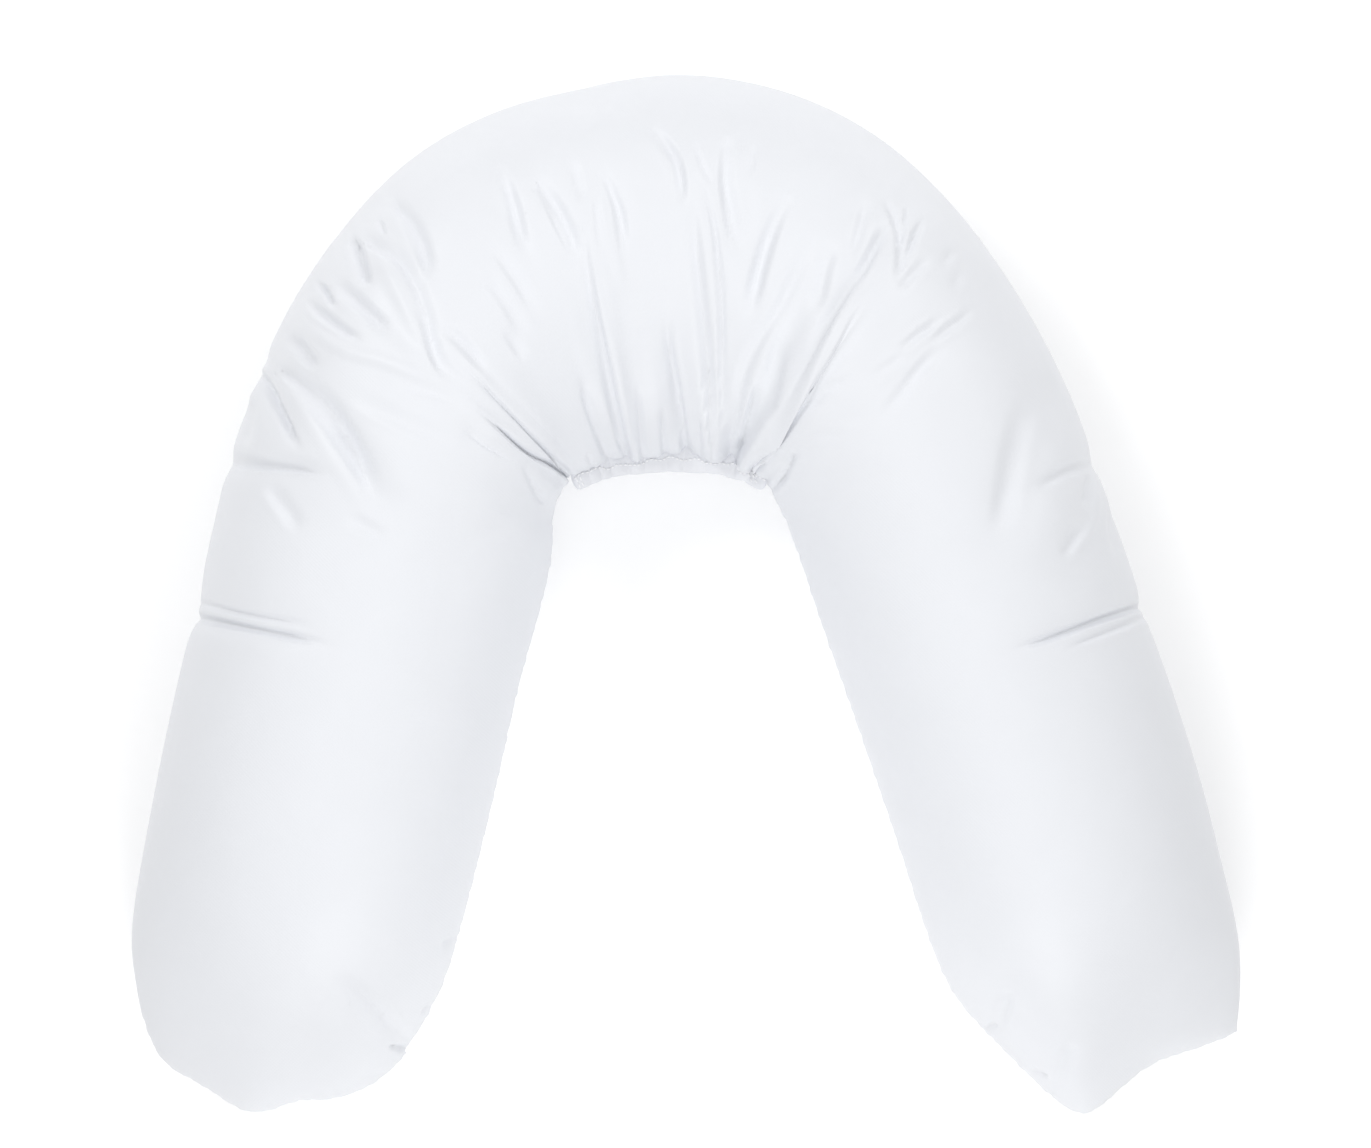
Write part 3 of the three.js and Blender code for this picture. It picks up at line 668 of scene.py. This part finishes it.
# %% Where the seams run
LEFT_END_SEAM = [(404, 1056), (382, 1080), (345, 1097), (318, 1096), (290, 1098), (262, 1110),
                 (230, 1096),
                 (196, 1077), (168, 1048), (150, 1014)]
RIGHT_END_SEAM = [(992, 1024), (1018, 1056), (1050, 1088), (1083, 1111), (1108, 1096),
                  (1140, 1066),
                  (1182, 1050), (1226, 1032)]
SEAM_HEIGHTS = [(0.0, 76), (0.06, 88), (0.14, 99), (0.38, 98), (0.46, 84), (0.54, 84),
                (0.62, 98), (0.86, 99),
                (0.94, 88), (1.0, 76)]  # share of the inner seam's length, mm above the floor
END_SEAM_HEIGHTS = [(0, 74), (1, 74)]
SEAM_STEP = 2 * MM


def seam_on_wall(corners, heights):
    """A seam's points on the pillow's wall, from its path in the picture."""
    path = smooth_path([spot(px, py) for px, py in corners], SEAM_STEP)
    share = np.linspace(0, 1, len(path))
    shares, levels = zip(*heights)
    high = np.interp(share, shares, levels) * MM
    return np.array([wall.find_nearest(Vector((x, y, z)))[0] for (x, y), z in zip(path, high)])


skin = bmesh.new()
skin.from_mesh(pillow.data)
wall = BVHTree.FromBMesh(skin)
skin.free()
SEAMS = [seam_on_wall(INNER_SEAM, SEAM_HEIGHTS), seam_on_wall(LEFT_END_SEAM, END_SEAM_HEIGHTS),
         seam_on_wall(RIGHT_END_SEAM, END_SEAM_HEIGHTS)]
for seam in SEAMS:
    run = np.linalg.norm(seam[1:] - seam[:-1], axis=1).sum()
    print("seam of", round(run / MM), "mm, from", [round(float(v), 3) for v in seam[0]])

# %% Points beside the seams
SEAM_REACH = 30 * MM
HALVINGS = [(11 * MM, 3.4 * MM), (5 * MM, 2.0 * MM)]  # how near the seam, the longest edge left


def near_seam(mesh, seam):
    """How far each point of a mesh is from a seam, and how far along the seam it is."""
    tree = KDTree(len(seam))
    for i, place in enumerate(seam):
        tree.insert(Vector(place), i)
    tree.balance()
    run = np.concatenate([[0], np.cumsum(np.linalg.norm(seam[1:] - seam[:-1], axis=1))])
    places = points_of(mesh)
    gap = np.full(len(places), np.inf)
    along = np.zeros(len(places))
    lowest, highest = seam.min(0) - SEAM_REACH, seam.max(0) + SEAM_REACH
    inside = np.all((places > lowest) & (places < highest), axis=1)
    for i in np.where(inside)[0]:
        found, number, distance = tree.find(Vector(places[i]))
        gap[i] = distance
        along[i] = run[number]
    return gap, along


def halve_near(mesh, seam, reach, longest):
    """Halves the long edges close to a seam."""
    gap = near_seam(mesh, seam)[0]
    fine = bmesh.new()
    fine.from_mesh(mesh)
    fine.verts.ensure_lookup_table()
    edges = [e for e in fine.edges
             if min(gap[v.index] for v in e.verts) < reach and e.calc_length() > longest]
    bmesh.ops.subdivide_edges(fine, edges=edges, cuts=1, use_grid_fill=True)
    fine.to_mesh(mesh)
    fine.free()
    return len(edges)


print("edges are halved within", [round(near / MM) for near, longest in HALVINGS], "mm of a seam")

# %% Sew the seams
GROOVE, GROOVE_WIDE = 1.2 * MM, 1.8 * MM
ROLL, ROLL_AT, ROLL_WIDE = 0.6 * MM, 5 * MM, 2.6 * MM
PUCKER, PUCKER_REACH = 0.7 * MM, 9 * MM
PUCKER_LENGTHS = (9 * MM, 13 * MM, 21 * MM)
PUCKER_DRIFT, DRIFT_LONGER = 1.3, 4
CASING_FROM, CASING_TO = spot(572, 0)[0], spot(768, 0)[0]
CASING_EASE = 12 * MM
CROWN_FROM, CROWN_FULL = 60 * MM, 70 * MM
FLATTENED = 0.85  # how much of its groove and roll the seam loses below the casing
rng = np.random.default_rng(11)


def below_casing(places):
    """1 where the casing covers the seam, 0 elsewhere."""
    right_of_start = ease(places[:, 0], CASING_FROM, CASING_FROM + CASING_EASE)
    left_of_end = ease(-places[:, 0], -CASING_TO, CASING_EASE - CASING_TO)
    return right_of_start * left_of_end * ease(places[:, 1], CROWN_FROM, CROWN_FULL)


for seam in SEAMS:
    halved = [halve_near(pillow.data, seam, near, longest) for near, longest in HALVINGS]
    gap, along = near_seam(pillow.data, seam)
    pucker = np.zeros(len(gap))
    for length in PUCKER_LENGTHS:
        drift = rng.uniform(0, 2 * math.pi, 3)
        wander = PUCKER_DRIFT * np.sin(along / (DRIFT_LONGER * length) + drift[1])
        turn = 2 * math.pi * along / length + drift[0] + wander
        pucker += np.sin(turn) / len(PUCKER_LENGTHS)
    close = np.minimum(gap, SEAM_REACH)
    places = points_of(pillow.data)
    roll = ROLL * np.exp(-((close - ROLL_AT) / ROLL_WIDE) ** 2)
    groove = GROOVE * np.exp(-(close / GROOVE_WIDE) ** 2)
    move = (1 - FLATTENED * below_casing(places)) * (roll - groove)
    swell = (close / PUCKER_REACH) * np.exp(1 - close / PUCKER_REACH)
    move += PUCKER * pucker * swell * (close < SEAM_REACH)
    put_points(pillow.data, places + normals_of(pillow.data) * move[:, None])
    print("halved", halved, "triangles:", triangles_in(pillow.data))

# %% Set it down
places = points_of(pillow.data)
print("lowest point", round(places[:, 2].min() / MM, 3), "mm, set down on the floor")
places[:, 2] = np.maximum(places[:, 2], 0)
put_points(pillow.data, places)

# %% [markdown]
# ## The elastic casing
# A strip of the same cotton is folded over an elastic and sewn on along the inner
# curve. The elastic is shorter than the cloth, so the strip gathers: it puffs out
# between one pinch and the next. A curve with a bevel would have the same width all
# along, so a ring of points is extruded along the seam instead, and each ring is
# set to the strip's width and thickness at its place. A ray finds the cloth, so
# that the sewn edge starts just inside it.

# %% The casing in the picture
STITCH_LINE = [(574, 482.5), (580, 476.5), (590, 474.5), (597, 468.5), (608, 472.5), (616, 467.5),
               (630, 467.5), (641, 467.5), (650, 461.5), (662, 463.5), (669, 458.5), (684, 463.5),
               (698, 460.5), (706, 466.5), (716, 462.5), (727, 467.5), (733, 465.5), (740, 469.5),
               (750, 473.5), (760, 478.5), (768, 485.5)]
FREE_EDGE = [(572, 492), (586, 486), (600, 480), (620, 475), (640, 473.5), (655, 472),
             (670, 471), (690, 472.5),
             (712, 473), (725, 475), (735, 479), (747, 481), (752, 485), (760, 489), (767, 492)]
PINCHES = [572, 588, 600, 611, 628, 645, 667, 684, 706, 722, 735, 750, 770]
PUFF_ROUND = 0.7


def at(path, x):
    """The height in the picture of a path at a place from left to right."""
    return np.interp(x, [p[0] for p in path], [p[1] for p in path])


def puff_at(x):
    """How far the casing puffs out, 0 at a pinch and 1 between two."""
    i = int(np.clip(np.searchsorted(PINCHES, x) - 1, 0, len(PINCHES) - 2))
    share = np.clip((x - PINCHES[i]) / (PINCHES[i + 1] - PINCHES[i]), 0, 1)
    return math.sin(math.pi * share) ** PUFF_ROUND


print("pinches:", len(PINCHES), "from", FREE_EDGE[0][0], "to", FREE_EDGE[-1][0], "px")

# %% One ring of the casing
CASING_LEVEL, CASING_RISE = 91 * MM, 10 * MM
CASING_THIN, CASING_PUFF = 3.4 * MM, 1.8 * MM
CASING_TILT = math.radians(18)
HIDDEN = 2.2 * MM
FEELER = 20 * MM
SWELL = 0.5 * MM
SMOOTHED = (-12, -6, 0, 6, 12)  # px, over which the scallops of the stitch line are evened out
SLOPE_OVER = 8  # px
ROUND_SHARE = 0.06  # of half its length, over which each end of the casing is rounded off
NARROWEST, THINNEST = 0.4, 0.1


def casing_ring(t):
    """The middle, outward direction, width and thickness of the casing at t from 0 to 1."""
    x = FREE_EDGE[0][0] + t * (FREE_EDGE[-1][0] - FREE_EDGE[0][0])
    smooth_top = np.mean([at(STITCH_LINE, x + k) for k in SMOOTHED])
    sewn = Vector((*spot(x, smooth_top), 0))
    free = Vector((*spot(x, at(FREE_EDGE, x)), 0))
    slope = at(FREE_EDGE, x + SLOPE_OVER) - at(FREE_EDGE, x - SLOPE_OVER)
    outward = Vector((-slope / (2 * SLOPE_OVER), -1, 0)).normalized()
    level = CASING_LEVEL + CASING_RISE * (2 * t - 1) ** 2
    before = Vector((sewn.x, sewn.y, level)) + outward * FEELER
    felt = wall.ray_cast(before, -outward, 2 * FEELER)[0]
    inside = max(0.0, (felt - before).length - FEELER) if felt else 0.0
    puff = puff_at(x)
    past_end = max(0.0, abs(2 * t - 1) - (1 - ROUND_SHARE)) / ROUND_SHARE
    round_end = math.sqrt(max(0.0, 1 - past_end ** 2))
    hidden = HIDDEN + inside
    reach = (free - sewn).length + hidden + SWELL * puff
    reach *= NARROWEST + (1 - NARROWEST) * round_end
    wide = reach / math.cos(CASING_TILT)
    thick = (CASING_THIN + CASING_PUFF * puff) * (THINNEST + (1 - THINNEST) * round_end)
    middle = sewn + outward * (reach / 2 - hidden)
    middle.z = level + SWELL * puff
    return middle, outward, wide, thick


print("casing", round(casing_ring(0.5)[2] / MM, 1), "mm wide in its middle")

# %% Casing strip
CASING_STATIONS, CASING_ROUND = 180, 18
strip = bmesh.new()
ring = bmesh.ops.create_circle(strip, segments=CASING_ROUND, radius=1.0, cap_ends=True)["verts"]
angles = [math.atan2(v.co.y, v.co.x) for v in ring]
edges = list(strip.edges)
for number in range(CASING_STATIONS + 1):
    middle, outward, wide, thick = casing_ring(number / CASING_STATIONS)
    tilted = outward * math.cos(CASING_TILT) - Vector((0, 0, math.sin(CASING_TILT)))
    upward = outward * math.sin(CASING_TILT) + Vector((0, 0, math.cos(CASING_TILT)))
    if number:
        grown = bmesh.ops.extrude_edge_only(strip, edges=edges)["geom"]
        ring = [g for g in grown if isinstance(g, bmesh.types.BMVert)]
        edges = [g for g in grown if isinstance(g, bmesh.types.BMEdge)]
    for v, angle in zip(ring, angles):
        across, over = wide / 2 * math.cos(angle), thick / 2 * math.sin(angle)
        v.co = middle + tilted * across + upward * over
bmesh.ops.edgeloop_fill(strip, edges=edges)
bmesh.ops.recalc_face_normals(strip, faces=strip.faces)
casing_mesh = bpy.data.meshes.new("gathered_casing")
strip.to_mesh(casing_mesh)
strip.free()
casing = link(bpy.data.objects.new("gathered_casing", casing_mesh))
casing_mesh.shade_smooth()
print("casing faces:", len(casing_mesh.polygons))

# %% [markdown]
# ## Stitches
# The casing is sewn on with one row of stitches, which rises and falls with the
# gathers, and a few crosswise stitches tack each end of the elastic. A whole thread
# that goes in and out of the cloth would be hidden for half its length, so each
# stitch is a small stretched ball, laid along the row again and again.

# %% Where the stitches go
ROW_LEVELS = [94 * MM, 98 * MM, 102 * MM, 106 * MM, 110 * MM]
ROW_PLAY, ROW_OUT = 2.0 * MM, 0.4 * MM
ROW_STEP = 3  # px
FROM_ABOVE = 0.3  # m, higher than the pillow
TACKS = [((576, 477), (581, 489)), ((580, 476), (584, 487)),
         ((748, 472), (752, 483)), ((752, 473), (757, 484))]
folded = bmesh.new()
folded.from_mesh(casing.data)
casing_tree = BVHTree.FromBMesh(folded)
folded.free()


def casing_top(x, y):
    """The place on the casing, or else on the pillow, below a point of the plan."""
    start, down = Vector((x, y, FROM_ABOVE)), Vector((0, 0, -1))
    hits = [tree.ray_cast(start, down)[0] for tree in (casing_tree, wall)]
    hits = [h for h in hits if h is not None]
    if not hits:
        return casing_tree.find_nearest(Vector((x, y, CASING_LEVEL)))[0]
    return max(hits, key=lambda h: h.z)


def row_beside_cloth():
    """The stitch row in pixels: the seam's scallops, kept just outside the edge of the cloth."""
    row = []
    back = Vector((0, 1, 0))
    for px in range(int(STITCH_LINE[0][0]), int(STITCH_LINE[-1][0]), ROW_STEP):
        x, y = spot(px, at(STITCH_LINE, px))
        starts = [Vector((x, y - FEELER, level)) for level in ROW_LEVELS]
        felt = [wall.ray_cast(start, back, 2 * FEELER)[0] for start in starts]
        edge = min((place.y for place in felt if place), default=y)
        y = min(y + ROW_PLAY, edge - ROW_OUT)
        row.append((px, CENTRE_Y - y / PIXEL))
    return row


stitch_row = row_beside_cloth()
print("the row has", len(stitch_row), "places")

# %% Stitch row and tacks
STITCH_LONG, STITCH_GAP, STITCH_THICK = 3.0 * MM, 0.5 * MM, 0.8 * MM
STITCH_ABOVE = 0.4 * MM
STITCH_SHARE = (0.08, 0.92)  # where in its step a stitch starts and ends
FINE_STEP = 0.3 * MM


def lay_stitches(threads, corners):
    """Lays stitches end to end along a path of the picture."""
    path = smooth_path([spot(px, py) for px, py in corners], FINE_STEP)
    run = np.concatenate([[0], np.cumsum(np.linalg.norm(path[1:] - path[:-1], axis=1))])
    count = max(1, int(run[-1] / (STITCH_LONG + STITCH_GAP)))
    for number in range(count):
        start, end = (run[-1] * (number + k) / count for k in STITCH_SHARE)
        first = casing_top(*(np.interp(start, run, path[:, k]) for k in (0, 1)))
        last = casing_top(*(np.interp(end, run, path[:, k]) for k in (0, 1)))
        reach = last - first
        turn = reach.to_track_quat("X", "Z").to_matrix().to_4x4()
        size = Matrix.Diagonal((reach.length / 2, STITCH_THICK, STITCH_THICK, 1))
        place = Matrix.Translation((first + last) / 2 + Vector((0, 0, STITCH_ABOVE)))
        bmesh.ops.create_uvsphere(
            threads, u_segments=6, v_segments=5, radius=1.0, matrix=place @ turn @ size)
    return count


threads = bmesh.new()
laid = lay_stitches(threads, stitch_row)
for tack in TACKS:
    laid += lay_stitches(threads, tack)
stitch_mesh = bpy.data.meshes.new("casing_stitches")
threads.to_mesh(stitch_mesh)
threads.free()
stitches = link(bpy.data.objects.new("casing_stitches", stitch_mesh))
stitch_mesh.shade_smooth()
print("stitches:", laid, "faces:", len(stitch_mesh.polygons))

# %% [markdown]
# ## Cotton
# Smooth white cotton is matt with a soft sheen towards its edges and a very fine
# weave. Weave and slight unevenness are far too small for the mesh, so a bump shows
# them. The colour varies a little at random with the unevenness and is darker in its
# dips, which is painted shade. Both are in one node group, which the two cloths and
# the thread share with their own values, and they follow Object coordinates, because
# nothing here moves.

# %% Node group: small creases and weave
def new_group(name, inputs, outputs):
    """An empty shader group with named numbers in and out."""
    group = bpy.data.node_groups.new(name, "ShaderNodeTree")
    for label, value in inputs:
        socket = group.interface.new_socket(
            name=label, in_out="INPUT", socket_type="NodeSocketFloat")
        socket.default_value = value
    group.interface.new_socket(name="Vector", in_out="INPUT", socket_type="NodeSocketVector")
    for label, kind in outputs:
        group.interface.new_socket(name=label, in_out="OUTPUT", socket_type=kind)
    return group, group.nodes.new("NodeGroupInput"), group.nodes.new("NodeGroupOutput")


def math_node(tree, operation, first, second=None):
    """One step of arithmetic in a node tree."""
    step = tree.nodes.new("ShaderNodeMath")
    step.operation = operation
    for slot_number, value in enumerate((first, second)):
        if value is None:
            continue
        if isinstance(value, (int, float)):
            step.inputs[slot_number].default_value = value
        else:
            tree.links.new(value, step.inputs[slot_number])
    return step.outputs[0]


CREASE_DETAIL, CREASE_ROUGH, CREASE_WARP = 4, 0.5, 0.6
creases, crease_in, crease_out = new_group(
    "cotton_relief",
    [("Crease Size", 30.0), ("Crease Height", 0.5), ("Thread", 2200.0), ("Thread Height", 0.02)],
    [("Height", "NodeSocketFloat"), ("Tone_And_Dip_Shade", "NodeSocketFloat")])
broad = creases.nodes.new("ShaderNodeTexNoise")
broad.inputs["Detail"].default_value = CREASE_DETAIL
broad.inputs["Roughness"].default_value = CREASE_ROUGH
broad.inputs["Distortion"].default_value = CREASE_WARP
creases.links.new(crease_in.outputs["Vector"], broad.inputs["Vector"])
creases.links.new(crease_in.outputs["Crease Size"], broad.inputs["Scale"])
ways = creases.nodes.new("ShaderNodeSeparateXYZ")
creases.links.new(crease_in.outputs["Vector"], ways.inputs["Vector"])


def thread_waves(way):
    """The rise and fall of the threads that lie side by side along one axis."""
    counted = math_node(creases, "MULTIPLY", ways.outputs[way], crease_in.outputs["Thread"])
    return math_node(creases, "SINE", counted)


weave = math_node(creases, "MULTIPLY", thread_waves("X"), thread_waves("Y"))
tall = math_node(creases, "MULTIPLY", broad.outputs["Fac"], crease_in.outputs["Crease Height"])
fine = math_node(creases, "MULTIPLY", weave, crease_in.outputs["Thread Height"])
creases.links.new(math_node(creases, "ADD", tall, fine), crease_out.inputs["Height"])
# This output is the crease noise. It paints the colour darker in the dips, which is painted
# shade, and makes the colour slightly uneven.
creases.links.new(broad.outputs["Fac"], crease_out.inputs["Tone_And_Dip_Shade"])
print("relief group:", len(creases.nodes), "nodes")

# %% Cotton materials
COTTON_ROUGH, COTTON_SHINE = 0.5, 0.5
SHEEN, SHEEN_ROUGH = 0.12, 0.5
RELIEF_HIGH = 1 * MM
# painted shade: in the dips of the creases the colour is darkened to this share of itself
DIP_SHADE_AND_TONE = 0.97  # of the colour, in the dips


def cotton(name, colour, crease_size, crease_height):
    """A matt cotton with soft creases, a fine weave, and painted shade: its colour is a little
    darker in the dips of the creases.
    """
    paint = bpy.data.materials.new(name)
    paint.use_nodes = True
    tree = paint.node_tree
    shader = tree.nodes["Principled BSDF"]
    shader.inputs["Roughness"].default_value = COTTON_ROUGH
    shader.inputs["Specular IOR Level"].default_value = COTTON_SHINE
    shader.inputs["Sheen Weight"].default_value = SHEEN
    shader.inputs["Sheen Roughness"].default_value = SHEEN_ROUGH
    where = tree.nodes.new("ShaderNodeTexCoord")
    relief = tree.nodes.new("ShaderNodeGroup")
    relief.node_tree = creases
    tree.links.new(where.outputs["Object"], relief.inputs["Vector"])
    relief.inputs["Crease Size"].default_value = crease_size
    relief.inputs["Crease Height"].default_value = crease_height
    bump = tree.nodes.new("ShaderNodeBump")
    bump.inputs["Strength"].default_value = 1.0
    bump.inputs["Distance"].default_value = RELIEF_HIGH
    tree.links.new(relief.outputs["Height"], bump.inputs["Height"])
    tree.links.new(bump.outputs["Normal"], shader.inputs["Normal"])
    # painted shade: the colour is mixed darker where the crease noise dips and lighter where it
    # rises
    tone_and_dip_shade = tree.nodes.new("ShaderNodeMix")
    tone_and_dip_shade.data_type = "RGBA"
    tone_and_dip_shade.inputs["A"].default_value = (*[c * DIP_SHADE_AND_TONE for c in colour], 1)
    tone_and_dip_shade.inputs["B"].default_value = (*colour, 1)
    tree.links.new(relief.outputs["Tone_And_Dip_Shade"], tone_and_dip_shade.inputs["Factor"])
    tree.links.new(tone_and_dip_shade.outputs["Result"], shader.inputs["Base Color"])
    return paint


COVER_WHITE = (0.80, 0.815, 0.85)
# painted light: the casing is the cover's own cotton, painted a little lighter than the cover
CASING_WHITE_AND_PAINTED_LIGHT = (0.82, 0.83, 0.865)
# the thread's own white, painted brighter than the cloth as a painted highlight, so that the
# stitch row shows as a bright line along the seam's ridge
THREAD_WHITE_AND_PAINTED_HIGHLIGHT = (0.94, 0.945, 0.96)
pillow.data.materials.clear()
pillow.data.materials.append(cotton("white_cotton", COVER_WHITE, 26.0, 0.5))
casing.data.materials.append(cotton("casing_cotton", CASING_WHITE_AND_PAINTED_LIGHT, 90.0, 0.4))
stitches.data.materials.append(cotton("sewing_thread_with_painted_highlight", THREAD_WHITE_AND_PAINTED_HIGHLIGHT, 400.0, 0.1))
print("materials:", [m.name for m in bpy.data.materials])

# %% [markdown]
# ## What stands for what
# The imported model has one body, "root". The cover and the casing ride on it, each
# in the place of its solid, which is hidden, and the stitches ride along as an
# extra. The cover is filled cloth and may differ a little from its solid.

# %% Declarations
for piece, solid, finish in ((pillow, "pillow", "cotton_cover"),
                             (casing, "elastic_casing", "casing_cotton")):
    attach(piece, "root")
    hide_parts(solid)
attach(stitches, "root")
